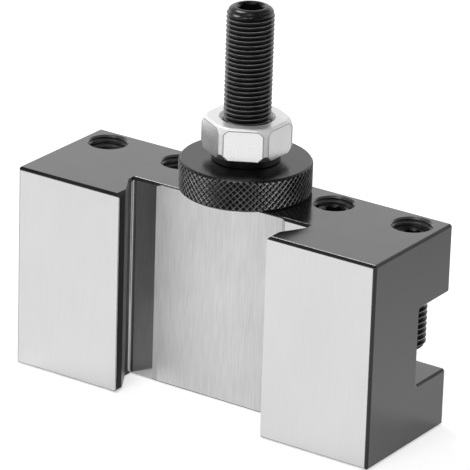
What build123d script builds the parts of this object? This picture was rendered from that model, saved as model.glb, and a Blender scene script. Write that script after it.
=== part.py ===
import os
from math import cos, pi, radians, tan

from build123d import *

# Quick-change tool holder for turning and facing, with its clamp screws and height stud.
# Millimetres. X runs along the block, Y from its ground front to the tool slot, Z up.
# The origin is the centre of the block's base.

# Block
block_length = 89.0
block_depth = 29.5
block_height = 45.0
edge_chamfer = 0.5

# Dovetail way in the front, from its noses through the flanks and roots to the seat and floor
mouth_width = 36.6
nose_depth = 2.2
flank_depth = 6.6
dovetail_angle = 60.0
root_depth = 1.45
root_radius = 0.5
seat_strip_width = 6.05
floor_relief = 0.35
floor_edge_run = 1.0
nose_bevel = 0.8
seat_bevel = 0.6

# Tool slot in the back
slot_floor_height = 12.8
slot_height = 17.0
slot_depth = 11.6
slot_corner_radius = 0.5

# Clamp screws, with the room under each tip and the turn of each socket, from left to right
clamp_screw_from_end = 6.3
clamp_screw_spacing = 19.0
clamp_screw_diameter = 8.0
clamp_screw_length = 25.0
clamp_screw_top_chamfer = 0.7
clamp_screw_tip_chamfer = 0.9
clamp_screw_socket = 4.0
clamp_screw_socket_depth = 5.0
clamp_screw_rooms = (4.2, 4.4, 6.0, 5.5)
clamp_screw_turns = (12.0, 48.0, 33.5, 21.0)
clamp_hole_countersink = 0.45

# Height stud, screwed down into the block and left there
stud_diameter = 10.0
stud_length = 50.0
stud_engagement = 10.0
stud_from_front = 19.3
stud_top_radius = 1.8
stud_end_chamfer = 1.0
stud_socket = 5.0
stud_socket_depth = 6.0
stud_socket_turn = 33.5
stud_end_gap = 0.5
stud_hole_countersink = 0.55

# Adjusting nut, knurled all round, which stands out over the way
adjusting_nut_diameter = 28.0
adjusting_nut_thickness = 6.8
adjusting_nut_top_chamfer = 0.7
adjusting_nut_bottom_chamfer = 0.4
adjusting_nut_countersink = 0.65

# Hexagonal lock nut on a round collar, its lower corners turned away to a steep cone
lock_nut_across_flats = 16.8
lock_nut_height = 9.1
lock_nut_corner_radius = 0.7
lock_nut_top_chamfer = 0.5
lock_nut_collar_diameter = 14.4
lock_nut_collar_height = 2.2
lock_nut_cone_diameter = 18.0
lock_nut_cone_angle = 66.0
lock_nut_countersink = 0.85
lock_nut_turn = 28.9

# Drill point, key sockets, thread clearance on the radius and the gap under a resting nut
drill_point_angle = 118.0
socket_lead = 0.35
thread_clearance = 0.05
seat_gap = 0.05

# How far a cutter starts outside the metal, and how near two equal places lie
cutter_overrun = 1.0
match_tolerance = 1e-4

# Places that follow from the sizes
front_y = -block_depth / 2
back_y = block_depth / 2
flank_end_y = front_y + nose_depth + flank_depth
seat_y = flank_end_y + root_depth
half_mouth = mouth_width / 2
half_root = half_mouth + flank_depth * tan(radians(90 - dovetail_angle))
slot_wall_y = back_y - slot_depth
slot_roof_height = slot_floor_height + slot_height
clamp_screw_y = back_y - slot_depth / 2
outer_screw_x = block_length / 2 - clamp_screw_from_end
inner_screw_x = outer_screw_x - clamp_screw_spacing
clamp_screw_xs = (-outer_screw_x, -inner_screw_x, inner_screw_x, outer_screw_x)
stud_y = front_y + stud_from_front
adjusting_nut_base = block_height + seat_gap
lock_nut_base = adjusting_nut_base + adjusting_nut_thickness + seat_gap


def frustum(low_radius, high_radius, height):
    """Cone frustum that stands on z=0."""
    return Cone(low_radius, high_radius, height, align=(Align.CENTER, Align.CENTER, Align.MIN))


def rod(diameter, length):
    """Plain cylinder that stands on z=0."""
    return Cylinder(diameter / 2, length, align=(Align.CENTER, Align.CENTER, Align.MIN))


def is_at(value, place):
    """Whether a coordinate or radius is the one sought."""
    return abs(value - place) < match_tolerance


def circle_edges(part, height, radius):
    """The round edges of one radius at one height."""
    rounds = part.edges().filter_by(GeomType.CIRCLE)
    return [e for e in rounds if is_at(e.center().Z, height) and is_at(e.radius, radius)]


def hexagon(across_flats):
    """Hexagon with a flat side square to the front."""
    return RegularPolygon(across_flats / 2, 6, major_radius=False)


def hexagon_corner_radius(across_flats):
    """Distance from a hexagon's centre to its corners."""
    return across_flats / 2 / cos(pi / 6)


def key_socket(across_flats, depth):
    """Cutter for a hexagonal key socket, sunk from z=0, with a lead-in and a flat bottom."""
    mouth_radius = hexagon_corner_radius(across_flats) + socket_lead / 2
    lead = Pos(0, 0, -socket_lead) * frustum(mouth_radius - socket_lead, mouth_radius, socket_lead)
    return extrude(hexagon(across_flats), -depth) + lead


def countersink(bore_diameter, depth):
    """Cutter for a 45 degree countersink, its wide end at z=0 and its narrow end below."""
    bore_radius = bore_diameter / 2
    return Pos(0, 0, -depth) * frustum(bore_radius, bore_radius + depth, depth)


def threaded_bore(diameter, length, mouth_depth):
    """Cutter for a through hole that takes a thread of this diameter, countersunk at both ends."""
    bore_diameter = diameter + 2 * thread_clearance
    mouth = countersink(bore_diameter, mouth_depth)
    far_mouth = Pos(0, 0, length) * mouth
    near_mouth = mouth.mirror(Plane.XY)
    return rod(bore_diameter, length) + far_mouth + near_mouth


def symmetrical_cutter(right_side):
    """Face between these points and their mirror images, left of the middle."""
    left_side = [(-x, y) for x, y in reversed(right_side)]
    return make_face(Polyline(*right_side, *left_side, close=True))


def dovetail_way():
    """Cutter for the way: two noses, two undercut flanks and a flat seat between round roots."""
    right_side = [
        (half_mouth, front_y - cutter_overrun),
        (half_mouth, front_y + nose_depth),
        (half_root, flank_end_y),
        (half_root, seat_y),
    ]
    outline = symmetrical_cutter(right_side)
    roots = [v for v in outline.vertices() if is_at(v.Y, seat_y)]
    return extrude(fillet(roots, root_radius), block_height)


def relieved_floor():
    """Cutter that sinks the middle of the seat, so that the way bears on the strips beside it."""
    half_relief = half_root - seat_strip_width
    right_side = [
        (half_relief, flank_end_y),
        (half_relief, seat_y),
        (half_relief - floor_edge_run, seat_y + floor_relief),
    ]
    return extrude(symmetrical_cutter(right_side), block_height)


def way_bevels():
    """Cutters that bevel the noses' sides and the seat at both ends of the way."""
    beyond = block_height + cutter_overrun
    nose_sides = [
        (half_mouth, block_height - nose_bevel),
        (half_mouth + nose_bevel + cutter_overrun, beyond),
    ]
    mouth_plane = Plane.XZ.offset(-flank_end_y)
    mouth = extrude(mouth_plane * symmetrical_cutter(nose_sides), flank_end_y - front_y + cutter_overrun)
    seat_side = Polyline(
        (seat_y - root_radius, block_height - seat_bevel - root_radius),
        (seat_y + seat_bevel + cutter_overrun, beyond),
        (seat_y - root_radius, beyond),
        close=True,
    )
    seat = extrude(Plane.YZ.offset(-half_root) * make_face(seat_side), 2 * half_root)
    upper_end = mouth + seat
    return upper_end + upper_end.mirror(Plane.XY.offset(block_height / 2))


def tool_slot():
    """Cutter for the slot, open at the back and at both ends, with round inner corners."""
    corner = (Align.CENTER, Align.MIN, Align.MIN)
    slot = Pos(0, slot_wall_y, slot_floor_height) * Box(block_length, slot_depth, slot_height, align=corner)
    inner = slot.edges().filter_by(Axis.X).group_by(Axis.Y)[0]
    return fillet(inner, slot_corner_radius)


def broken_edges(block):
    """The edges that get a chamfer: all round the ends, the back, the front, the top and the base."""
    def lies_on(edge, axis, place):
        return all(is_at(getattr(vertex, axis), place) for vertex in edge.vertices())

    half_length = block_length / 2
    sides = [("X", -half_length), ("X", half_length), ("Y", front_y), ("Y", back_y)]
    ends = [("Z", 0), ("Z", block_height)]
    return [e for e in block.edges() if any(lies_on(e, axis, place) for axis, place in sides + ends)]


def stud_hole():
    """Cutter for the blind threaded hole of the stud, sunk from z=0."""
    hole_diameter = stud_diameter + 2 * thread_clearance
    depth = stud_engagement + stud_end_gap
    point_height = hole_diameter / 2 / tan(radians(drill_point_angle / 2))
    shaft = Pos(0, 0, -depth) * rod(hole_diameter, depth)
    point = Pos(0, 0, -depth - point_height) * frustum(0, hole_diameter / 2, point_height)
    return shaft + point + countersink(hole_diameter, stud_hole_countersink)


def make_holder_block():
    """Block with the dovetail way, the tool slot, the clamp screws' holes and the stud's hole."""
    block = Box(block_length, block_depth, block_height, align=(Align.CENTER, Align.CENTER, Align.MIN))
    block -= tool_slot()
    block = chamfer(broken_edges(block), edge_chamfer)
    block = block - dovetail_way() - way_bevels() - relieved_floor()
    jaw_thickness = block_height - slot_roof_height
    for x in clamp_screw_xs:
        hole = threaded_bore(clamp_screw_diameter, jaw_thickness, clamp_hole_countersink)
        block -= Pos(x, clamp_screw_y, slot_roof_height) * hole
    block -= Pos(0, stud_y, block_height) * stud_hole()
    return block


def make_clamp_screw(x, room, turn):
    """Socket set screw, with this room between its tip and the slot's floor."""
    screw = rod(clamp_screw_diameter, clamp_screw_length)
    radius = clamp_screw_diameter / 2
    screw = chamfer(circle_edges(screw, clamp_screw_length, radius), clamp_screw_top_chamfer)
    screw = chamfer(circle_edges(screw, 0, radius), clamp_screw_tip_chamfer)
    socket = key_socket(clamp_screw_socket, clamp_screw_socket_depth)
    screw -= Pos(0, 0, clamp_screw_length) * Rot(0, 0, turn) * socket
    return Pos(x, clamp_screw_y, slot_floor_height + room) * screw


def make_height_stud():
    """Long set screw with a round upper end, on which both nuts run."""
    stud = rod(stud_diameter, stud_length)
    stud = fillet(circle_edges(stud, stud_length, stud_diameter / 2), stud_top_radius)
    stud = chamfer(circle_edges(stud, 0, stud_diameter / 2), stud_end_chamfer)
    stud -= Pos(0, 0, stud_length) * Rot(0, 0, stud_socket_turn) * key_socket(stud_socket, stud_socket_depth)
    return Pos(0, stud_y, block_height - stud_engagement) * stud


def make_adjusting_nut():
    """Round nut that stands out over the way, where it rests on the tool post."""
    nut = rod(adjusting_nut_diameter, adjusting_nut_thickness)
    radius = adjusting_nut_diameter / 2
    nut = chamfer(circle_edges(nut, adjusting_nut_thickness, radius), adjusting_nut_top_chamfer)
    nut = chamfer(circle_edges(nut, 0, radius), adjusting_nut_bottom_chamfer)
    nut -= threaded_bore(stud_diameter, adjusting_nut_thickness, adjusting_nut_countersink)
    return Pos(0, stud_y, adjusting_nut_base) * nut


def lock_nut_blank():
    """Turned body of the lock nut: its collar and the cone above, which trims the hexagon's corners."""
    reach = hexagon_corner_radius(lock_nut_across_flats) + cutter_overrun
    cone_radius = lock_nut_cone_diameter / 2
    cone_rise = (reach - cone_radius) * tan(radians(lock_nut_cone_angle))
    outline = Polyline(
        (0, 0),
        (lock_nut_collar_diameter / 2, 0),
        (lock_nut_collar_diameter / 2, lock_nut_collar_height),
        (cone_radius, lock_nut_collar_height),
        (reach, lock_nut_collar_height + cone_rise),
        (reach, lock_nut_height),
        (0, lock_nut_height),
        close=True,
    )
    return revolve(make_face(Plane.XZ * outline), Axis.Z)


def make_lock_nut():
    """Hexagon nut with rounded corners, a chamfered top and a collar below."""
    outline = hexagon(lock_nut_across_flats)
    outline = fillet(outline.vertices(), lock_nut_corner_radius)
    nut = extrude(outline, lock_nut_height)
    nut = chamfer(nut.edges().group_by(Axis.Z)[-1], lock_nut_top_chamfer)
    nut = nut & lock_nut_blank()
    nut -= threaded_bore(stud_diameter, lock_nut_height, lock_nut_countersink)
    return Pos(0, stud_y, lock_nut_base) * Rot(0, 0, lock_nut_turn) * nut


parts = {
    "holder_block": make_holder_block(),
    "height_stud": make_height_stud(),
    "adjusting_nut": make_adjusting_nut(),
    "lock_nut": make_lock_nut(),
}
for number, place in enumerate(zip(clamp_screw_xs, clamp_screw_rooms, clamp_screw_turns), start=1):
    parts[f"clamp_screw_{number}"] = make_clamp_screw(*place)

os.makedirs("parts", exist_ok=True)
for name, part in parts.items():
    part.label = name
    export_step(part, f"parts/{name}.step")
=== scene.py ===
import math

import bmesh
import bpy
from mathutils import Matrix, Vector


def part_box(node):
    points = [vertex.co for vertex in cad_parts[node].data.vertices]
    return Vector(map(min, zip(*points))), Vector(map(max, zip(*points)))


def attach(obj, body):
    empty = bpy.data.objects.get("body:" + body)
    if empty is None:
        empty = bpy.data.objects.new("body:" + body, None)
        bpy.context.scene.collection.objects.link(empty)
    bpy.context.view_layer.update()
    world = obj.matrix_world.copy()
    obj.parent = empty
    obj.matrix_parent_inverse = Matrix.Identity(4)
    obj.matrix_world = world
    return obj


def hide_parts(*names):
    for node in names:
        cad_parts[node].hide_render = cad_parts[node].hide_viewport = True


# Looks of the quick-change tool holder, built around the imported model.
# Everything is in metres in the model's frame, and MM turns millimetres into metres.
MM = 0.001

# Camera, as seen from the ground front and from the right of it
VIEW_AZIMUTH = math.radians(33.547)
VIEW_ELEVATION = math.radians(21.867)
VIEW_ROLL = math.radians(1.820)
VIEW_TARGET = Vector((0.0, 0.25, 25.0)) * MM
VIEW_DISTANCE = 865.83 * MM
VIEW_RIGHT = 0.603 * MM
VIEW_UP = 10.135 * MM
SENSOR_WIDTH = 36.0
LENS = 317.73

# Block: how deep the parts of its way lie, and how its edges are rubbed
NOSE_DEPTH = 2.2 * MM
FLANK_END_DEPTH = 8.8 * MM
STRIP_DEPTH = 10.25 * MM
FLOOR_DEPTH = 10.6 * MM
ROOT_RADIUS = 0.5 * MM
WAY_HALF_WIDTH = 22.2 * MM
BLOCK_HALF_LENGTH = 44.5 * MM
PAD_EDGE_ROUNDING = 0.18 * MM
BLOCK_EDGE_ROUNDING = 0.10 * MM
SHORTEST_ROUNDED_EDGE = 1.0 * MM
SMOOTH_ANGLE = math.radians(35)

# Block: slack in telling its faces apart by their places, and limits on their unit normals
PLACE_SLACK = 0.03 * MM
PAD_SLACK = 0.02 * MM
RAMP_SLACK = 0.001 * MM
SQUARE = 0.99
NEAR_UPRIGHT = 0.2
RAMP_TILT = 0.97
CHAMFER_TILTS = (0.6, 0.8)
CHAMFER_SKEW = 0.05

# Places of the block's materials in its list, and of the lock nut's in its own
PLAIN, PADS, SEAT, STRIPS, EDGES, NOSES, FLANKS, ROOTS, RAMPS, THREADS, CHAMFERS, CRESTS, ENDS = range(13)
NUT_FLATS, NUT_TOP, NUT_RUBBED_HIGHLIGHT, NUT_COLLAR, NUT_OUTLINES = range(5)

# Distances within which doubled points are joined, in the CAD mesh and in the threads
CAD_WELD = 0.002 * MM
THREAD_WELD = 0.0005 * MM

# Angle up to which two CAD facets count as one flat face, and how far a cutter stands out of a surface
COPLANAR_ANGLE = math.radians(0.5)
BEYOND = 1.0 * MM

# Threads: pitches, depths, and the clearance that keeps moving threads apart
SCREW_PITCH = 1.25 * MM
STUD_PITCH = 1.0 * MM
CREST_CLEARANCE = 0.02 * MM
THREAD_DEPTH_SHARE = 0.6134
HOLE_THREAD_CREST = 4.07 * MM
HOLE_THREAD_DEPTH = 0.42 * MM
TAP_DEPTH = 16.5 * MM

# Screw holes: where the rubbed crests lie, and limits on the normals of crests and threads
HOLE_CREST_BAND = (0.97 * HOLE_THREAD_CREST, HOLE_THREAD_CREST + 0.02 * MM)
HOLE_CREST_TILT = 0.3
HOLE_THREAD_TILT = 0.98

# How finely the threads and sockets are divided
SCREW_SEGMENTS = 64
STUD_SEGMENTS = 96
TAP_SEGMENTS = 72
SOCKET_SEGMENTS = 96
ROD_END_STEPS = 18

# Height of a 60 degree thread over its pitch, from 0 at the root to 1 at the crest
OUTER_THREAD = (
    (0.0, 1.0),
    (0.05, 1.0),
    (0.075, 0.94),
    (0.36, 0.05),
    (0.44, 0.0),
    (0.56, 0.0),
    (0.64, 0.05),
    (0.925, 0.94),
    (0.95, 1.0),
)
INNER_THREAD = ((0.0, 1.0), (0.06, 0.97), (0.36, 0.0), (0.64, 0.0), (0.94, 0.97))

# Set screws and their key sockets, with the turn of each socket in degrees
SCREW_SOCKET = 4.0 * MM
SCREW_SOCKET_DEPTH = 5.0 * MM
SCREW_TOP_CHAMFER = 0.7 * MM
SCREW_TIP_CHAMFER = 0.9 * MM
SCREW_TURNS = (12.0, 48.0, 33.5, 21.0)
STUD_SOCKET = 5.0 * MM
STUD_SOCKET_DEPTH = 6.0 * MM
STUD_TOP_RADIUS = 1.8 * MM
STUD_END_CHAMFER = 1.0 * MM
STUD_SOCKET_TURN = 33.5
SOCKET_LEAD = 0.35 * MM

# Adjusting nut: its knurl, with the ridges round it each way and the steps from one to the next
KNURLS_ROUND = 63
KNURL_STEPS = 4
KNURL_DEPTH = 0.42 * MM
KNURL_FLANK_SHARE = 0.7
NUT_TOP_CHAMFER = 0.5 * MM
NUT_BOTTOM_CHAMFER = 0.4 * MM
NUT_BORE_RADIUS = 5.05 * MM
NUT_COUNTERSINK = 0.65 * MM
KNURL_SMOOTH_ANGLE = math.radians(18)

# Lock nut, with its turn in degrees
LOCK_FLATS = 16.8 * MM
LOCK_TURN = 28.9
LOCK_CORNER_RADIUS = 1.4 * MM
LOCK_TOP_ROUNDING = 0.6 * MM
LOCK_TOP_REACH = 8.75 * MM
LOCK_TOP_DROP = 1.8 * MM
LOCK_TOP_SLOPE = 0.45
LOCK_COLLAR_RADIUS = 7.2 * MM
LOCK_COLLAR_HEIGHT = 2.2 * MM
LOCK_COLLAR_ROUNDING = 0.15 * MM
LOCK_CONE_RADIUS = 9.0 * MM
LOCK_CONE_ANGLE = math.radians(66.0)
LOCK_COUNTERSINK = 0.85 * MM
LOCK_COLUMNS = 240
LOCK_SIDE_STEPS = 12
LOCK_ROUND_STEPS = 5

# Lock nut: limits on the normals that tell its flats and its cone apart
FLAT_SPREAD = math.radians(2)
FLAT_TILT = 0.05
CONE_TILT = 0.1

# Noise in the materials: how rough it is, how it is stretched along X, Y and Z, and how fine it is
NOISE_ROUGHNESS = 0.6
EVEN = (1.0, 1.0, 1.0)
LINE_STRETCH = (1.0, 1.0, 0.06)
STREAK_STRETCH = (1.0, 1.0, 0.40)
MARK_STRETCH = (1.0, 1.0, 0.25)
LINE_SCALE = 2600.0
STREAK_SCALE = 160.0
STEEL_CLOUD_SCALE = 60.0
GRAIN_SCALE = 1800.0
OXIDE_CLOUD_SCALE = 120.0
PATCH_SCALE = 500.0
PLATING_CLOUD_SCALE = 220.0
MARK_SCALE = 1500.0
MARK_HEIGHT = 0.004 * MM

# Materials: how far their grey and roughness vary
STEEL_UNEVENNESS = 0.04
OXIDE_GREY_SHARES = (0.8, 1.25)
OXIDE_UNEVENNESS = (-0.03, 0.04)
PLATING_GREY_UNEVENNESS = 0.04
PLATING_UNEVENNESS = (-0.04, 0.05)

# Black oxide rubbed through to steel on crests, wholly in the outer sixth of the wear's depth
WORN_OXIDE_GREY = 0.006
WORN_OXIDE_ROUGHNESS = 0.25
WORN_OXIDE_GLOSS = 1.48
WORN_PATCHES = (0.35, 1.0)
WORN_METAL = 0.8
WORN_EXTRA_ROUGHNESS = 0.15
WORN_WHOLE_PART = 6
KNURL_WEAR = 0.12 * MM
KNURL_BARE = 0.45
THREAD_WEAR = 0.04 * MM
SCREW_BARE = 0.40
STUD_BARE = 0.34

# Lighting: how bright the floor and the backdrop look, the backdrop by the height of the direction
FLOOR_HALF_SIZE = 4.0
FLOOR_DROP = 0.05 * MM
FLOOR_COLOUR = (0.8, 0.8, 0.8, 1)
FLOOR_SEEN_GLOW = 0.6
FLOOR_MIRRORED_GLOW = 0.35
FLOOR_BRIGHT_MIDDLE = (-0.05, -0.08, 0.0)
FLOOR_BRIGHT_RADIUS = 0.10
FLOOR_DIM_RADIUS = 0.32
BACKDROP_LEVELS = ((0.0, 1.0), (0.36, 1.0), (0.51, 0.45), (0.62, 0.12), (1.0, 0.12))
BACKDROP_STRENGTH = 1.22
FRONT_LEVEL = 0.05
FRONT_SPAN = (0.2, 0.65)

# Lamps: name, place, size, and power in watts
LAMPS = (
    ("front", (0.12, -0.60, 0.75), (0.6, 0.5), 4.0),
    ("key", (-0.97, 0.26, 1.61), (0.6, 0.6), 12.0),
)


def make_camera():
    """Camera at the photograph's viewing angle."""
    back = Vector(
        (
            math.sin(VIEW_AZIMUTH) * math.cos(VIEW_ELEVATION),
            -math.cos(VIEW_AZIMUTH) * math.cos(VIEW_ELEVATION),
            math.sin(VIEW_ELEVATION),
        )
    )
    right = Vector((math.cos(VIEW_AZIMUTH), math.sin(VIEW_AZIMUTH), 0))
    up = back.cross(right)
    rolled_right = math.cos(VIEW_ROLL) * right + math.sin(VIEW_ROLL) * up
    rolled_up = -math.sin(VIEW_ROLL) * right + math.cos(VIEW_ROLL) * up
    data = bpy.data.cameras.new("camera")
    data.lens = LENS
    data.sensor_width = SENSOR_WIDTH
    camera = bpy.data.objects.new("camera", data)
    matrix = Matrix((rolled_right, rolled_up, back)).transposed().to_4x4()
    matrix.translation = VIEW_TARGET + back * VIEW_DISTANCE + right * VIEW_RIGHT + up * VIEW_UP
    camera.matrix_world = matrix
    bpy.context.scene.collection.objects.link(camera)
    bpy.context.scene.camera = camera


def new_material(name):
    """New material, with its nodes and its links."""
    material = bpy.data.materials.new(name)
    material.use_nodes = True
    return material, material.node_tree.nodes, material.node_tree.links


def stretched_noise(nodes, links, stretch, scale, detail):
    """Noise over the object's own place, stretched along some axes."""
    place = nodes.new("ShaderNodeTexCoord")
    mapping = nodes.new("ShaderNodeMapping")
    mapping.inputs["Scale"].default_value = stretch
    noise = nodes.new("ShaderNodeTexNoise")
    noise.inputs["Scale"].default_value = scale
    noise.inputs["Detail"].default_value = detail
    noise.inputs["Roughness"].default_value = NOISE_ROUGHNESS
    links.new(place.outputs["Object"], mapping.inputs["Vector"])
    links.new(mapping.outputs["Vector"], noise.inputs["Vector"])
    return noise.outputs["Fac"]


def spread(nodes, links, value, low, high, start=0.3, stop=0.7):
    """A value mapped from noise's usual range to one between low and high."""
    ranged = nodes.new("ShaderNodeMapRange")
    ranged.inputs["From Min"].default_value = start
    ranged.inputs["From Max"].default_value = stop
    ranged.inputs["To Min"].default_value = low
    ranged.inputs["To Max"].default_value = high
    links.new(value, ranged.inputs["Value"])
    return ranged.outputs["Result"]


def grey_of(nodes, links, value):
    """A grey colour with this value."""
    combined = nodes.new("ShaderNodeCombineColor")
    for channel in ("Red", "Green", "Blue"):
        links.new(value, combined.inputs[channel])
    return combined.outputs["Color"]


def bumped(nodes, links, shader, height, distance):
    """Makes the shader's normals follow this height."""
    bump = nodes.new("ShaderNodeBump")
    bump.inputs["Distance"].default_value = distance
    links.new(height, bump.inputs["Height"])
    links.new(bump.outputs["Normal"], shader.inputs["Normal"])


def ground_steel(name, grey, roughness, line_height, line_grey, sideways=0.0):
    """Bright ground steel with fine grinding lines that run up and down and spread the light sideways."""
    material, nodes, links = new_material(name)
    shader = nodes["Principled BSDF"]
    shader.inputs["Anisotropic"].default_value = sideways
    across = nodes.new("ShaderNodeCombineXYZ")
    across.inputs["X"].default_value = 1.0
    links.new(across.outputs["Vector"], shader.inputs["Tangent"])
    shader.inputs["Metallic"].default_value = 1.0
    lines = stretched_noise(nodes, links, LINE_STRETCH, LINE_SCALE, 3.0)
    streaks = stretched_noise(nodes, links, STREAK_STRETCH, STREAK_SCALE, 3.0)
    cloud = stretched_noise(nodes, links, EVEN, STEEL_CLOUD_SCALE, 4.0)
    mixed = nodes.new("ShaderNodeMath")
    mixed.operation = "ADD"
    links.new(spread(nodes, links, lines, -line_grey, line_grey), mixed.inputs[0])
    links.new(spread(nodes, links, streaks, grey - line_grey / 2, grey + line_grey / 2), mixed.inputs[1])
    links.new(grey_of(nodes, links, mixed.outputs[0]), shader.inputs["Base Color"])
    rough = spread(nodes, links, cloud, roughness - STEEL_UNEVENNESS, roughness + STEEL_UNEVENNESS)
    links.new(rough, shader.inputs["Roughness"])
    bumped(nodes, links, shader, lines, line_height)
    return material


def black_oxide(name, grey, roughness, grain, gloss):
    """Blackened steel: dark, with a satin gloss and a fine grain."""
    material, nodes, links = new_material(name)
    shader = nodes["Principled BSDF"]
    shader.inputs["IOR"].default_value = gloss
    fine = stretched_noise(nodes, links, EVEN, GRAIN_SCALE, 3.0)
    cloud = stretched_noise(nodes, links, EVEN, OXIDE_CLOUD_SCALE, 5.0)
    darkest, lightest = OXIDE_GREY_SHARES
    shade = spread(nodes, links, cloud, grey * darkest, grey * lightest)
    links.new(grey_of(nodes, links, shade), shader.inputs["Base Color"])
    glossier, duller = OXIDE_UNEVENNESS
    rough = spread(nodes, links, cloud, roughness + glossier, roughness + duller)
    links.new(rough, shader.inputs["Roughness"])
    bumped(nodes, links, shader, fine, grain)
    return material


def axis_distance(nodes, links, middle):
    """Distance of the surface from the upright axis through this point."""
    place = nodes.new("ShaderNodeTexCoord")
    moved = nodes.new("ShaderNodeVectorMath")
    moved.operation = "SUBTRACT"
    moved.inputs[1].default_value = middle
    flat = nodes.new("ShaderNodeVectorMath")
    flat.operation = "MULTIPLY"
    flat.inputs[1].default_value = (1, 1, 0)
    distance = nodes.new("ShaderNodeVectorMath")
    distance.operation = "LENGTH"
    links.new(place.outputs["Object"], moved.inputs[0])
    links.new(moved.outputs["Vector"], flat.inputs[0])
    links.new(flat.outputs["Vector"], distance.inputs[0])
    return distance.outputs["Value"]


def worn_oxide(name, node, wear, bare):
    """Black oxide that is rubbed through to bare steel near the crests of a round node."""
    low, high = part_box(node)
    crest = (high.x - low.x) / 2 - CREST_CLEARANCE
    material, nodes, links = new_material(name)
    shader = nodes["Principled BSDF"]
    shader.inputs["IOR"].default_value = WORN_OXIDE_GLOSS
    distance = axis_distance(nodes, links, (low + high) / 2)
    worn = spread(nodes, links, distance, 0.0, 1.0, crest - wear, crest - wear / WORN_WHOLE_PART)
    patches = stretched_noise(nodes, links, EVEN, PATCH_SCALE, 3.0)
    share = nodes.new("ShaderNodeMath")
    share.operation = "MULTIPLY"
    links.new(worn, share.inputs[0])
    links.new(spread(nodes, links, patches, *WORN_PATCHES), share.inputs[1])
    shade = spread(nodes, links, share.outputs[0], WORN_OXIDE_GREY, bare, 0.0, 1.0)
    links.new(grey_of(nodes, links, shade), shader.inputs["Base Color"])
    metal = spread(nodes, links, share.outputs[0], 0.0, WORN_METAL, 0.0, 1.0)
    links.new(metal, shader.inputs["Metallic"])
    roughest = WORN_OXIDE_ROUGHNESS + WORN_EXTRA_ROUGHNESS
    rough = spread(nodes, links, share.outputs[0], WORN_OXIDE_ROUGHNESS, roughest, 0.0, 1.0)
    links.new(rough, shader.inputs["Roughness"])
    return material


def bright_plating(name, grey, roughness, metal):
    """Bright plated steel with faint rolling marks."""
    material, nodes, links = new_material(name)
    shader = nodes["Principled BSDF"]
    shader.inputs["Metallic"].default_value = metal
    cloud = stretched_noise(nodes, links, EVEN, PLATING_CLOUD_SCALE, 5.0)
    marks = stretched_noise(nodes, links, MARK_STRETCH, MARK_SCALE, 3.0)
    shade = spread(nodes, links, cloud, grey - PLATING_GREY_UNEVENNESS, grey + PLATING_GREY_UNEVENNESS)
    links.new(grey_of(nodes, links, shade), shader.inputs["Base Color"])
    glossier, duller = PLATING_UNEVENNESS
    rough = spread(nodes, links, cloud, roughness + glossier, roughness + duller)
    links.new(rough, shader.inputs["Roughness"])
    bumped(nodes, links, shader, marks, MARK_HEIGHT)
    return material


def make_block_materials():
    """The block's materials, in the order of their places."""
    return [
        black_oxide("black_oxide", grey=0.010, roughness=0.16, grain=0.003 * MM, gloss=1.90),
        ground_steel("ground_pads", grey=0.71, roughness=0.34, line_height=0.002 * MM, line_grey=0.010),
        ground_steel(
            "ground_floor", grey=0.80, roughness=0.50, line_height=0.004 * MM, line_grey=0.05, sideways=0.85
        ),
        ground_steel("ground_strips", grey=0.60, roughness=0.12, line_height=0.001 * MM, line_grey=0.02),
        # Bare steel on the pads' rounded edges and on the chamfers along the front's base and left side,
        # lighter than the pads as a painted highlight.
        ground_steel("bare_edges_painted_highlight", grey=0.90, roughness=0.30, line_height=0.001 * MM, line_grey=0.02),
        black_oxide("nose_oxide", grey=0.010, roughness=0.40, grain=0.004 * MM, gloss=1.25),
        # Ground steel much darker than the pads, on the way's flanks.
        ground_steel("dark_ground_flanks", grey=0.27, roughness=0.35, line_height=0.002 * MM, line_grey=0.02),
        black_oxide("root_oxide", grey=0.010, roughness=0.25, grain=0.003 * MM, gloss=1.5),
        ground_steel(
            "ground_ramps", grey=0.62, roughness=0.50, line_height=0.004 * MM, line_grey=0.04, sideways=0.85
        ),
        black_oxide("thread_oxide", grey=0.060, roughness=0.22, grain=0.003 * MM, gloss=1.90),
        # Rougher, less glossy oxide on the chamfers, darker as painted shade.
        black_oxide("chamfer_oxide_painted_shade", grey=0.010, roughness=0.25, grain=0.003 * MM, gloss=1.50),
        ground_steel("thread_crests", grey=0.55, roughness=0.35, line_height=0.002 * MM, line_grey=0.05),
        # The ends' oxide has a little less gloss than the rest, so that they look darker: painted shade.
        black_oxide("end_oxide_painted_shade", grey=0.010, roughness=0.16, grain=0.003 * MM, gloss=1.84),
    ]


def make_nut_materials():
    """The lock nut's materials, in the order of their places."""
    return [
        bright_plating("bright_plating", grey=0.86, roughness=0.24, metal=0.95),
        bright_plating("frosted_plating", grey=0.90, roughness=0.32, metal=0.6),
        # Rubbed, rougher plating on the corners and edges, with a lighter grey that is a painted highlight.
        bright_plating("rubbed_plating_and_highlight", grey=0.95, roughness=0.50, metal=0.3),
        # Near-black oxide on the collar as painted shade: it stands in the shadow under the nut, and its own
        # finish is not known.
        black_oxide("collar_painted_shade", grey=0.006, roughness=0.25, grain=0.003 * MM, gloss=1.65),
        # Darker plating for the lines round the flats, a painted dark reflection.
        bright_plating("flat_outlines_painted_reflection", grey=0.40, roughness=0.40, metal=0.7),
    ]


def new_piece(name, work, materials):
    """Object made from a bmesh, with its materials."""
    mesh = bpy.data.meshes.new(name)
    work.to_mesh(mesh)
    work.free()
    for material in materials:
        mesh.materials.append(material)
    piece = bpy.data.objects.new(name, mesh)
    bpy.context.scene.collection.objects.link(piece)
    return piece


def apply_modifiers(piece):
    """Keeps what the modifiers make as the piece's own mesh."""
    shown = piece.evaluated_get(bpy.context.evaluated_depsgraph_get())
    made = bpy.data.meshes.new_from_object(shown)
    piece.modifiers.clear()
    old = piece.data
    piece.data = made
    bpy.data.meshes.remove(old)


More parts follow.
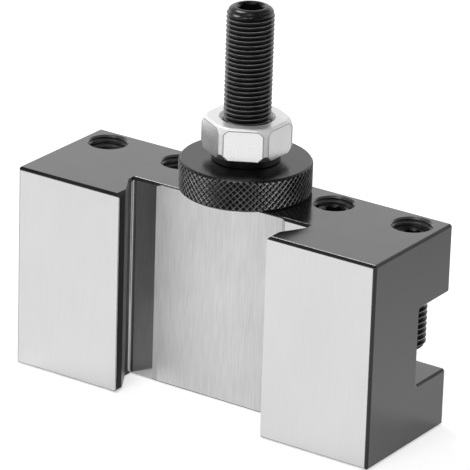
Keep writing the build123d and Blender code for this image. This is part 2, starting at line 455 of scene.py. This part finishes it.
def smooth(piece, angle=SMOOTH_ANGLE):
    """Smooth shading, sharp where faces meet at more than this angle or change material."""
    work = bmesh.new()
    work.from_mesh(piece.data)
    for face in work.faces:
        face.smooth = True
    for edge in work.edges:
        kinds = {face.material_index for face in edge.link_faces}
        edge.smooth = len(kinds) == 1 and edge.calc_face_angle(0.0) < angle
    work.to_mesh(piece.data)
    work.free()


def carve(piece, cutter):
    """Cuts the cutter out of the piece and removes it."""
    boolean = piece.modifiers.new("carve", "BOOLEAN")
    boolean.operation = "DIFFERENCE"
    boolean.solver = "EXACT"
    boolean.object = cutter
    apply_modifiers(piece)
    bpy.data.objects.remove(cutter)


def even_normals(piece):
    """Keeps large faces flat in the shading and bends it over the small roundings."""
    weighted = piece.modifiers.new("even", "WEIGHTED_NORMAL")
    weighted.keep_sharp = True
    apply_modifiers(piece)


def profile_height(profile, phase):
    """Height of a thread's profile at a share of its pitch, between the points around it."""
    phase = phase % 1.0
    before = (profile[-1][0] - 1.0, profile[-1][1])
    after = (profile[0][0] + 1.0, profile[0][1])
    points = [before, *profile, after]
    for (start, low), (stop, high) in zip(points, points[1:]):
        if start <= phase <= stop:
            return low + (high - low) * (phase - start) / (stop - start)
    return profile[0][1]


def add_thread(work, radius_at, profile, pitch, low, high, segments):
    """Helical surface round Z from one height to another. Returns its lowest and highest rings."""
    first = math.floor(low / pitch) - 1
    last = math.ceil(high / pitch) + 1
    phases = [phase for phase, _ in profile]
    columns = []
    for index in range(segments):
        turn = index / segments
        column = []
        for k in range(first, last + 1):
            for phase in phases:
                z = (k + phase + turn) * pitch
                z = min(max(z, low), high)
                height = profile_height(profile, z / pitch - turn)
                radius = radius_at(height)
                angle = 2 * math.pi * turn
                column.append(work.verts.new((radius * math.cos(angle), radius * math.sin(angle), z)))
        columns.append(column)
    step = len(phases)
    rows = len(columns[0])
    for index in range(segments):
        here = columns[index]
        there = columns[(index + 1) % segments]
        shift = step if index == segments - 1 else 0
        for row in range(rows - 1):
            if row + 1 + shift < rows:
                work.faces.new((here[row], there[row + shift], there[row + 1 + shift], here[row + 1]))
    lowest = [column[0] for column in columns]
    highest = [column[-1] for column in columns]
    return lowest, highest


def join_rings(work, lower, upper):
    """Faces between two rings of as many points."""
    count = len(lower)
    for index in range(count):
        following = (index + 1) % count
        work.faces.new((lower[index], lower[following], upper[following], upper[index]))


def add_ring(work, radii, z):
    """Ring of points at one height, with a radius for each."""
    count = len(radii)
    ring = []
    for index, radius in enumerate(radii):
        angle = 2 * math.pi * index / count
        ring.append(work.verts.new((radius * math.cos(angle), radius * math.sin(angle), z)))
    return ring


def threaded_rod(radius, root, profile, pitch, length, limit, ends, segments):
    """Solid threaded rod that stands on z=0, whole between the two ends and no wider than limit(z)."""
    work = bmesh.new()

    def radius_at(height):
        return root + (radius - root) * height

    lowest, highest = add_thread(work, radius_at, profile, pitch, ends[0], ends[1], segments)
    for start, ring, stop in ((ends[0], lowest, 0.0), (ends[1], highest, length)):
        for step in range(1, ROD_END_STEPS + 1):
            share = math.sin(math.pi / 2 * step / ROD_END_STEPS)
            z = start + (stop - start) * share
            radii = []
            for index in range(segments):
                height = profile_height(profile, z / pitch - index / segments)
                radii.append(min(radius_at(height), limit(z)))
            following = add_ring(work, radii, z)
            if stop > start:
                join_rings(work, ring, following)
            else:
                join_rings(work, following, ring)
            ring = following
        work.faces.new(ring if stop > start else list(reversed(ring)))
    bmesh.ops.remove_doubles(work, verts=work.verts, dist=THREAD_WELD)
    bmesh.ops.dissolve_degenerate(work, dist=THREAD_WELD, edges=work.edges)
    bmesh.ops.recalc_face_normals(work, faces=work.faces)
    return work


def lathed(outline, segments):
    """Solid turned round Z from a closed outline of radius and height."""
    work = bmesh.new()
    rings = []
    for radius, z in outline:
        if radius <= 0:
            rings.append([work.verts.new((0, 0, z))])
        else:
            rings.append(add_ring(work, [radius] * segments, z))
    for lower, upper in zip(rings, rings[1:] + rings[:1]):
        if len(lower) == 1 and len(upper) == 1:
            continue
        if len(lower) == 1:
            for index in range(segments):
                work.faces.new((lower[0], upper[(index + 1) % segments], upper[index]))
        elif len(upper) == 1:
            for index in range(segments):
                work.faces.new((upper[0], lower[index], lower[(index + 1) % segments]))
        else:
            join_rings(work, lower, upper)
    bmesh.ops.recalc_face_normals(work, faces=work.faces)
    return work


def hexagon_prism(across_flats, low, high):
    """Hexagonal prism round Z with two of its flats square to Y."""
    work = bmesh.new()
    corner = across_flats / 2 / math.cos(math.pi / 6)
    lower = add_ring(work, [corner] * 6, low)
    upper = add_ring(work, [corner] * 6, high)
    join_rings(work, lower, upper)
    work.faces.new(upper)
    work.faces.new(list(reversed(lower)))
    bmesh.ops.recalc_face_normals(work, faces=work.faces)
    return work


def cut_socket(piece, across_flats, depth, top, turn, material):
    """Sinks a hexagonal key socket with a lead-in into the top of a screw that stands on Z."""
    prism = new_piece("cutter", hexagon_prism(across_flats, top - depth, top + BEYOND), [material])
    prism.data.transform(Matrix.Rotation(math.radians(turn), 4, "Z"))
    carve(piece, prism)
    mouth = across_flats / 2 / math.cos(math.pi / 6) + SOCKET_LEAD / 2
    outline = [(0, top - mouth), (mouth, top), (mouth + BEYOND, top + BEYOND), (0, top + BEYOND)]
    carve(piece, new_piece("cutter", lathed(outline, SOCKET_SEGMENTS), [material]))


def make_set_screw(name, node, pitch, limit, whole, socket, turn, material, segments):
    """Socket screw with a real thread in the place of a CAD node, no wider than limit(z)."""
    low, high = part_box(node)
    length = high.z - low.z
    radius = (high.x - low.x) / 2 - CREST_CLEARANCE
    root = radius - THREAD_DEPTH_SHARE * pitch
    work = threaded_rod(radius, root, OUTER_THREAD, pitch, length, limit, whole, segments)
    piece = new_piece(name, work, [material])
    cut_socket(piece, socket[0], socket[1], length, turn, material)
    smooth(piece)
    middle = (low + high) / 2
    piece.data.transform(Matrix.Translation((middle.x, middle.y, low.z)))
    return piece


def make_clamp_screws():
    """The four clamp screws, from left to right."""
    for number, turn in enumerate(SCREW_TURNS, start=1):
        node = f"clamp_screw_{number}"
        low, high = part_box(node)
        length = high.z - low.z
        radius = (high.x - low.x) / 2 - CREST_CLEARANCE

        def limit(z):
            return min(radius - SCREW_TIP_CHAMFER + z, radius - SCREW_TOP_CHAMFER + length - z, radius)

        whole = (SCREW_TIP_CHAMFER, length - SCREW_TOP_CHAMFER)
        socket = (SCREW_SOCKET, SCREW_SOCKET_DEPTH)
        material = worn_oxide(f"screw_oxide_{number}", node, THREAD_WEAR, SCREW_BARE)
        name = f"set_screw_{number}"
        shape = (SCREW_PITCH, limit, whole, socket, turn)
        piece = make_set_screw(name, node, *shape, material, SCREW_SEGMENTS)
        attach(piece, node)
        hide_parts(node)


def make_stud(material):
    """The height stud, with its fine thread and its round top."""
    low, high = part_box("height_stud")
    length = high.z - low.z
    radius = (high.x - low.x) / 2 - CREST_CLEARANCE
    round_start = length - STUD_TOP_RADIUS

    def limit(z):
        if z > round_start:
            rise = min(z - round_start, STUD_TOP_RADIUS)
            return radius - STUD_TOP_RADIUS + math.sqrt(STUD_TOP_RADIUS**2 - rise**2)
        return min(radius - STUD_END_CHAMFER + z, radius)

    whole = (STUD_END_CHAMFER, round_start)
    socket = (STUD_SOCKET, STUD_SOCKET_DEPTH)
    shape = (STUD_PITCH, limit, whole, socket, STUD_SOCKET_TURN)
    piece = make_set_screw("stud", "height_stud", *shape, material, STUD_SEGMENTS)
    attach(piece, "holder")
    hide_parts("height_stud")


def knurl_height(column, row):
    """Height of the knurl between 0 in its pits and 1 on its ridges, which cross each other at 45 degrees."""
    half = KNURL_STEPS / 2
    first = abs((column + row + half) % KNURL_STEPS - half)
    second = abs((column - row + half) % KNURL_STEPS - half)
    away = min(first, second) / half
    if away < 0.5:
        return 1 - 2 * away * KNURL_FLANK_SHARE
    return 2 * (1 - away) * (1 - KNURL_FLANK_SHARE)


def knurl_rings(work, radius, thickness):
    """Rings of the knurled rim from bottom to top, cut back by the chamfers."""
    columns = KNURLS_ROUND * KNURL_STEPS
    step = 2 * math.pi * radius / columns
    rows = range(1, math.floor(thickness / step) + 1)
    rows = [row for row in rows if row * step < thickness - NUT_TOP_CHAMFER]
    heights = [0.0, NUT_BOTTOM_CHAMFER / 2] + [row * step for row in rows]
    heights += [thickness - NUT_TOP_CHAMFER * share for share in (1.0, 0.75, 0.5, 0.25, 0.0)]
    made = []
    for z in heights:
        limit = min(radius - NUT_BOTTOM_CHAMFER + z, radius - NUT_TOP_CHAMFER + thickness - z)
        radii = []
        for column in range(columns):
            sunk = KNURL_DEPTH * (1 - knurl_height(column, z / step))
            radii.append(min(radius - sunk, limit))
        made.append(add_ring(work, radii, z))
    return made


def join_knurl(work, lower, upper):
    """Faces between two rings of the rim, each split along the diagonal whose ends stand highest."""
    count = len(lower)
    for index in range(count):
        following = (index + 1) % count
        corners = (lower[index], lower[following], upper[following], upper[index])
        reach = [math.hypot(corner.co.x, corner.co.y) for corner in corners]
        if reach[0] + reach[2] > reach[1] + reach[3]:
            work.faces.new((corners[0], corners[1], corners[2]))
            work.faces.new((corners[0], corners[2], corners[3]))
        else:
            work.faces.new((corners[0], corners[1], corners[3]))
            work.faces.new((corners[1], corners[2], corners[3]))


def make_adjusting_nut(material):
    """The round nut, knurled all round."""
    low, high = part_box("adjusting_nut")
    thickness = high.z - low.z
    radius = (high.x - low.x) / 2 - CREST_CLEARANCE
    work = bmesh.new()
    rim = knurl_rings(work, radius, thickness)
    for lower, upper in zip(rim, rim[1:]):
        join_knurl(work, lower, upper)
    mouth = NUT_BORE_RADIUS + NUT_COUNTERSINK
    outline = (
        (mouth, thickness),
        (NUT_BORE_RADIUS, thickness - NUT_COUNTERSINK),
        (NUT_BORE_RADIUS, NUT_COUNTERSINK),
        (mouth, 0.0),
    )
    ring = rim[-1]
    for reach, z in outline:
        following = add_ring(work, [reach] * len(ring), z)
        join_rings(work, ring, following)
        ring = following
    join_rings(work, ring, rim[0])
    bmesh.ops.recalc_face_normals(work, faces=work.faces)
    piece = new_piece("knurled_nut", work, [material])
    smooth(piece, KNURL_SMOOTH_ANGLE)
    middle = (low + high) / 2
    piece.data.transform(Matrix.Translation((middle.x, middle.y, low.z)))
    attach(piece, "adjusting_nut")
    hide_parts("adjusting_nut")


def hexagon_radius(angle, inset):
    """Distance from the middle to the lock nut's rounded hexagon, shrunk by an inset, at an angle."""
    apothem = LOCK_FLATS / 2 - inset
    corner = LOCK_CORNER_RADIUS - inset
    half_side = math.radians(30)
    turn = abs((angle + half_side) % (2 * half_side) - half_side)
    if math.tan(turn) * apothem < (apothem - corner) * math.tan(half_side):
        return apothem / math.cos(turn)
    centre = (apothem - corner) / math.cos(half_side)
    aside = centre * math.sin(half_side - turn)
    return centre * math.cos(half_side - turn) + math.sqrt(corner**2 - aside**2)


def is_on_flat(normal):
    """Whether a normal is that of one of the lock nut's flats, or of the cone under them."""
    if normal.z < -CONE_TILT:
        return True
    turn = math.atan2(normal.y, normal.x)
    sector = math.radians(60)
    aside = abs((turn + sector / 2) % sector - sector / 2)
    return abs(normal.z) < FLAT_TILT and aside < FLAT_SPREAD


def outline_flats(mesh):
    """Gives the rubbed faces that border the lock nut's flats a darker material, as a line round each: a
    painted dark reflection.
    """
    work = bmesh.new()
    work.from_mesh(mesh)
    borders = []
    for face in work.faces:
        beside = {other.material_index for edge in face.edges for other in edge.link_faces}
        if face.material_index == NUT_RUBBED_HIGHLIGHT and NUT_FLATS in beside:
            borders.append(face)
    for face in borders:
        face.material_index = NUT_OUTLINES
    work.to_mesh(mesh)
    work.free()


def collar_rings():
    """Radii and heights of the rings from the lock nut's bore to the top of its collar."""
    mouth = NUT_BORE_RADIUS + LOCK_COUNTERSINK
    rows = (
        (mouth, 0.0),
        (LOCK_COLLAR_RADIUS - LOCK_COLLAR_ROUNDING, 0.0),
        (LOCK_COLLAR_RADIUS, LOCK_COLLAR_ROUNDING),
        (LOCK_COLLAR_RADIUS, LOCK_COLLAR_HEIGHT),
    )
    return [([radius] * LOCK_COLUMNS, z) for radius, z in rows]


def hexagon_rings(height):
    """Radii and heights of the lock nut's outer rings, from its cone to the edge of its top."""
    angles = [2 * math.pi * index / LOCK_COLUMNS for index in range(LOCK_COLUMNS)]
    rings = []

    def add(inset, reach, z):
        rings.append(([min(hexagon_radius(angle, inset), reach) for angle in angles], z))

    cone_rise = (LOCK_FLATS / 2 / math.cos(math.radians(30)) - LOCK_CONE_RADIUS) * math.tan(LOCK_CONE_ANGLE)
    for step in range(LOCK_SIDE_STEPS + 1):
        rise = cone_rise * step / LOCK_SIDE_STEPS
        add(0.0, LOCK_CONE_RADIUS + rise / math.tan(LOCK_CONE_ANGLE), LOCK_COLLAR_HEIGHT + rise)
    for step in range(1, LOCK_SIDE_STEPS):
        drop = LOCK_TOP_DROP + (LOCK_TOP_ROUNDING - LOCK_TOP_DROP) * step / LOCK_SIDE_STEPS
        add(0.0, LOCK_TOP_REACH + drop * LOCK_TOP_SLOPE, height - drop)
    for step in range(LOCK_ROUND_STEPS + 1):
        turn = math.pi / 2 * step / LOCK_ROUND_STEPS
        inset = LOCK_TOP_ROUNDING * (1 - math.cos(turn))
        z = height - LOCK_TOP_ROUNDING * (1 - math.sin(turn))
        add(inset, LOCK_TOP_REACH + (height - z) * LOCK_TOP_SLOPE - inset, z)
    return rings


def bore_rings(height):
    """Radii and heights of the rings down the lock nut's bore."""
    mouth = NUT_BORE_RADIUS + LOCK_COUNTERSINK
    rows = (
        (mouth, height),
        (NUT_BORE_RADIUS, height - LOCK_COUNTERSINK),
        (NUT_BORE_RADIUS, LOCK_COUNTERSINK),
    )
    return [([radius] * LOCK_COLUMNS, z) for radius, z in rows]


def dress_lock_nut(piece, height):
    """Gives each face of the lock nut the material of its place."""
    for face in piece.data.polygons:
        # Faces below the collar's top get the near-black collar, painted shade.
        if face.center.z < LOCK_COLLAR_HEIGHT:
            face.material_index = NUT_COLLAR
        elif face.center.z > height - LOCK_TOP_ROUNDING / 4 and face.normal.z > SQUARE:
            face.material_index = NUT_TOP
        # Faces above the collar that are off the flats, the cone and the top get the rubbed plating with its
        # painted highlight, the corners above all.
        elif face.center.z > LOCK_COLLAR_HEIGHT and not is_on_flat(face.normal):
            face.material_index = NUT_RUBBED_HIGHLIGHT
    outline_flats(piece.data)


def make_lock_nut(materials):
    """The bright hexagon nut with its rubbed corners painted lighter as highlights, on its collar painted
    dark as shade.
    """
    low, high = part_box("lock_nut")
    height = high.z - low.z
    work = bmesh.new()
    rows = collar_rings() + hexagon_rings(height) + bore_rings(height)
    rings = [add_ring(work, radii, z) for radii, z in rows]
    for lower, upper in zip(rings, rings[1:] + rings[:1]):
        join_rings(work, lower, upper)
    bmesh.ops.recalc_face_normals(work, faces=work.faces)
    piece = new_piece("hexagon_nut", work, materials)
    dress_lock_nut(piece, height)
    smooth(piece)
    even_normals(piece)
    middle = (low + high) / 2
    turned = Matrix.Rotation(math.radians(LOCK_TURN) - math.pi / 2, 4, "Z")
    piece.data.transform(Matrix.Translation((middle.x, middle.y, low.z)) @ turned)
    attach(piece, "lock_nut")
    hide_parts("lock_nut")


def plain_copy(node):
    """bmesh of a CAD node with its doubled points joined and its flat faces whole."""
    mesh = node.data
    work = bmesh.new()
    points = [work.verts.new(vertex.co) for vertex in mesh.vertices]
    for polygon in mesh.polygons:
        work.faces.new([points[index] for index in polygon.vertices])
    bmesh.ops.remove_doubles(work, verts=work.verts, dist=CAD_WELD)
    bmesh.ops.dissolve_limit(
        work,
        angle_limit=COPLANAR_ANGLE,
        verts=work.verts,
        edges=work.edges,
        use_dissolve_boundaries=False,
    )
    return work


def weigh_edges(work, front):
    """Bevel weights: the pads' edges get the widest rounding and the other sharp edges a small one."""
    weights = work.edges.layers.float.new("bevel_weight_edge")
    for edge in work.edges:
        if len(edge.link_faces) != 2 or edge.calc_face_angle() < SMOOTH_ANGLE:
            continue
        if edge.calc_length() < SHORTEST_ROUNDED_EDGE:
            continue
        on_pad = [face for face in edge.link_faces if is_pad(face.normal, face.calc_center_median(), front)]
        edge[weights] = 1.0 if on_pad else BLOCK_EDGE_ROUNDING / PAD_EDGE_ROUNDING


def is_pad(normal, centre, front):
    """Whether a face lies in the block's ground front."""
    return normal.y < -SQUARE and centre.y - front < PAD_SLACK


def is_end(normal, centre):
    """Whether a face lies in one of the block's two ends."""
    return abs(normal.x) > SQUARE and abs(centre.x) > BLOCK_HALF_LENGTH - PLACE_SLACK


def is_chamfer(normal):
    """Whether a face leans at 45 degrees between two of the block's sides."""
    flattest, middling = sorted(abs(size) for size in normal)[:2]
    return flattest < CHAMFER_SKEW and CHAMFER_TILTS[0] < middling < CHAMFER_TILTS[1]


def chamfer_material(normal):
    """Material of a chamfer: bare steel, painted lighter as a highlight, along the front's base and left
    side, and elsewhere black oxide with less gloss, darker as painted shade.
    """
    tilt = CHAMFER_TILTS[0]
    if normal.y < -tilt and min(normal.x, normal.z) < -tilt:
        return EDGES
    return CHAMFERS


def way_material(nearest, middle):
    """Material of an upright face in the way, by the depths of its nearest point and its middle."""
    if nearest > FLOOR_DEPTH - PLACE_SLACK:
        return SEAT
    if nearest > STRIP_DEPTH - ROOT_RADIUS - PLACE_SLACK:
        return STRIPS
    if nearest > FLANK_END_DEPTH - PLACE_SLACK:
        return ROOTS
    if nearest > NOSE_DEPTH - PLACE_SLACK:
        return FLANKS
    # The pads' rounded edges get the bare steel with its painted highlight.
    if middle < PAD_EDGE_ROUNDING:
        return EDGES
    if middle < NOSE_DEPTH:
        return NOSES
    return PLAIN


def dress_block(piece, front):
    """Gives each face of the block the material of its place."""
    for face in piece.data.polygons:
        nearest = min(piece.data.vertices[index].co.y for index in face.vertices) - front
        middle = face.center.y - front
        upright = abs(face.normal.z) < NEAR_UPRIGHT
        in_way = upright and abs(face.center.x) < WAY_HALF_WIDTH and middle < FLOOR_DEPTH + PLACE_SLACK
        face.material_index = PLAIN
        if is_pad(face.normal, face.center, front):
            face.material_index = PADS
        elif is_chamfer(face.normal):
            face.material_index = chamfer_material(face.normal)
        # The ends get the less glossy oxide, painted shade.
        elif is_end(face.normal, face.center):
            face.material_index = ENDS
        elif in_way and abs(face.normal.y) < RAMP_TILT and STRIP_DEPTH - nearest < RAMP_SLACK:
            face.material_index = RAMPS
        elif in_way:
            face.material_index = way_material(nearest, middle)


def dress_hole(piece, place):
    """Gives the thread of the screw hole at this place its material, and its rubbed crests another."""
    reach = HOLE_THREAD_CREST + HOLE_THREAD_DEPTH
    nearest, furthest = HOLE_CREST_BAND
    for face in piece.data.polygons:
        aside = math.hypot(face.center.x - place.x, face.center.y - place.y)
        if nearest < aside < furthest and abs(face.normal.z) < HOLE_CREST_TILT:
            face.material_index = CRESTS
        elif reach / 2 < aside < reach and abs(face.normal.z) < HOLE_THREAD_TILT:
            face.material_index = THREADS


def make_block(node, materials):
    """The block, ground on its front and in its way and black elsewhere, with its threaded holes."""
    low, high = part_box("holder_block")
    work = plain_copy(node)
    weigh_edges(work, low.y)
    piece = new_piece("block", work, materials)
    bevel = piece.modifiers.new("rub", "BEVEL")
    bevel.width = PAD_EDGE_ROUNDING
    bevel.segments = 2
    bevel.limit_method = "WEIGHT"
    bevel.use_clamp_overlap = False
    apply_modifiers(piece)
    dress_block(piece, low.y)
    for number in range(1, len(SCREW_TURNS) + 1):
        screw_low, screw_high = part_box(f"clamp_screw_{number}")
        place = (screw_low + screw_high) / 2
        cutter = thread_cutter(high.z - TAP_DEPTH, high.z + BEYOND, materials[PLAIN])
        cutter.data.transform(Matrix.Translation((place.x, place.y, 0)))
        carve(piece, cutter)
        dress_hole(piece, place)
    smooth(piece)
    even_normals(piece)
    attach(piece, "holder")
    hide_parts("holder_block")


def thread_cutter(low, high, material):
    """Tap that cuts a screw hole's thread outwards from the plain bore."""
    work = bmesh.new()

    def radius_at(height):
        return HOLE_THREAD_CREST + HOLE_THREAD_DEPTH * height

    lowest, highest = add_thread(work, radius_at, INNER_THREAD, SCREW_PITCH, low, high, TAP_SEGMENTS)
    work.faces.new(highest)
    work.faces.new(list(reversed(lowest)))
    bmesh.ops.remove_doubles(work, verts=work.verts, dist=THREAD_WELD)
    bmesh.ops.dissolve_degenerate(work, dist=THREAD_WELD, edges=work.edges)
    bmesh.ops.recalc_face_normals(work, faces=work.faces)
    return new_piece("tap", work, [material])


def make_floor():
    """Plain pale floor that looks white and keeps the shadow. In reflections it dims away from the object."""
    work = bmesh.new()
    bmesh.ops.create_grid(work, x_segments=1, y_segments=1, size=FLOOR_HALF_SIZE)
    material, nodes, links = new_material("floor")
    nodes.remove(nodes["Principled BSDF"])
    diffuse = nodes.new("ShaderNodeBsdfDiffuse")
    diffuse.inputs["Color"].default_value = FLOOR_COLOUR
    place = nodes.new("ShaderNodeTexCoord")
    distance = nodes.new("ShaderNodeVectorMath")
    distance.operation = "LENGTH"
    moved = nodes.new("ShaderNodeVectorMath")
    moved.operation = "SUBTRACT"
    moved.inputs[1].default_value = FLOOR_BRIGHT_MIDDLE
    links.new(place.outputs["Object"], moved.inputs[0])
    links.new(moved.outputs["Vector"], distance.inputs[0])
    fading = nodes.new("ShaderNodeMapRange")
    fading.interpolation_type = "SMOOTHSTEP"
    fading.inputs["From Min"].default_value = FLOOR_BRIGHT_RADIUS
    fading.inputs["From Max"].default_value = FLOOR_DIM_RADIUS
    fading.inputs["To Min"].default_value = FLOOR_MIRRORED_GLOW
    fading.inputs["To Max"].default_value = 0.0
    links.new(distance.outputs["Value"], fading.inputs["Value"])
    path = nodes.new("ShaderNodeLightPath")
    mirrored = nodes.new("ShaderNodeMath")
    mirrored.operation = "MAXIMUM"
    links.new(path.outputs["Is Glossy Ray"], mirrored.inputs[0])
    links.new(path.outputs["Is Transmission Ray"], mirrored.inputs[1])
    faded = nodes.new("ShaderNodeMath")
    faded.operation = "MULTIPLY"
    links.new(mirrored.outputs[0], faded.inputs[0])
    links.new(fading.outputs["Result"], faded.inputs[1])
    strength = nodes.new("ShaderNodeMath")
    strength.operation = "MULTIPLY_ADD"
    strength.inputs[1].default_value = FLOOR_SEEN_GLOW
    links.new(path.outputs["Is Camera Ray"], strength.inputs[0])
    links.new(faded.outputs[0], strength.inputs[2])
    glow = nodes.new("ShaderNodeEmission")
    links.new(strength.outputs[0], glow.inputs["Strength"])
    both = nodes.new("ShaderNodeAddShader")
    links.new(diffuse.outputs[0], both.inputs[0])
    links.new(glow.outputs[0], both.inputs[1])
    links.new(both.outputs[0], nodes["Material Output"].inputs["Surface"])
    floor = new_piece("floor", work, [material])
    floor.location.z = -FLOOR_DROP


def make_world():
    """Bright backdrop behind the object, dark overhead and on the camera's side. The camera sees it white."""
    world = bpy.data.worlds.new("world")
    bpy.context.scene.world = world
    world.use_nodes = True
    nodes, links = world.node_tree.nodes, world.node_tree.links
    background = nodes["Background"]
    background.inputs["Color"].default_value = (1, 1, 1, 1)
    place = nodes.new("ShaderNodeTexCoord")
    parts = nodes.new("ShaderNodeSeparateXYZ")
    links.new(place.outputs["Generated"], parts.inputs["Vector"])
    ramp = nodes.new("ShaderNodeValToRGB")
    for (height, level), stop in zip(BACKDROP_LEVELS, add_stops(ramp.color_ramp, len(BACKDROP_LEVELS))):
        stop.position = height
        stop.color = (level, level, level, 1)
    links.new(parts.outputs["Z"], ramp.inputs["Fac"])
    towards = nodes.new("ShaderNodeVectorMath")
    towards.operation = "DOT_PRODUCT"
    towards.inputs[1].default_value = (math.sin(VIEW_AZIMUTH), -math.cos(VIEW_AZIMUTH), 0)
    links.new(place.outputs["Generated"], towards.inputs[0])
    front = nodes.new("ShaderNodeMapRange")
    front.interpolation_type = "SMOOTHSTEP"
    front.inputs["From Min"].default_value = FRONT_SPAN[0]
    front.inputs["From Max"].default_value = FRONT_SPAN[1]
    front.inputs["To Min"].default_value = BACKDROP_STRENGTH
    front.inputs["To Max"].default_value = FRONT_LEVEL
    links.new(towards.outputs["Value"], front.inputs["Value"])
    dimmed = nodes.new("ShaderNodeMath")
    dimmed.operation = "MULTIPLY"
    links.new(ramp.outputs["Color"], dimmed.inputs[0])
    links.new(front.outputs["Result"], dimmed.inputs[1])
    camera = nodes.new("ShaderNodeLightPath")
    mixed = nodes.new("ShaderNodeMix")
    mixed.data_type = "FLOAT"
    links.new(camera.outputs["Is Camera Ray"], mixed.inputs["Factor"])
    links.new(dimmed.outputs[0], mixed.inputs["A"])
    mixed.inputs["B"].default_value = 1.0
    links.new(mixed.outputs["Result"], background.inputs["Strength"])


def add_stops(ramp, count):
    """The ramp's stops, after more are added to make as many as this."""
    while len(ramp.elements) < count:
        ramp.elements.new(1.0)
    return ramp.elements


def add_softbox(name, place, size, power):
    """Large soft lamp that points at the object's middle."""
    data = bpy.data.lights.new(name, "AREA")
    data.shape = "RECTANGLE"
    data.size, data.size_y = size
    data.energy = power
    lamp = bpy.data.objects.new(name, data)
    lamp.location = place
    lamp.rotation_euler = (VIEW_TARGET - Vector(place)).to_track_quat("-Z", "Y").to_euler()
    bpy.context.scene.collection.objects.link(lamp)


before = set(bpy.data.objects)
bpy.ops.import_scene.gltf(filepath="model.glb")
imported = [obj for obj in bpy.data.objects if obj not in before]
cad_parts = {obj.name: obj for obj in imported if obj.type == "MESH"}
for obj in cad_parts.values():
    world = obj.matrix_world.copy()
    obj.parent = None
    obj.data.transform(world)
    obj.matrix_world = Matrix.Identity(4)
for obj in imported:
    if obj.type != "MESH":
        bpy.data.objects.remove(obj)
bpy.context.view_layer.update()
make_camera()
bpy.context.scene.view_settings.view_transform = "Standard"

make_block(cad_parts["holder_block"], make_block_materials())
make_clamp_screws()
make_stud(worn_oxide("stud_oxide", "height_stud", THREAD_WEAR, STUD_BARE))
make_adjusting_nut(worn_oxide("knurl_oxide", "adjusting_nut", KNURL_WEAR, KNURL_BARE))
make_lock_nut(make_nut_materials())

make_floor()
make_world()
for lamp in LAMPS:
    add_softbox(*lamp)
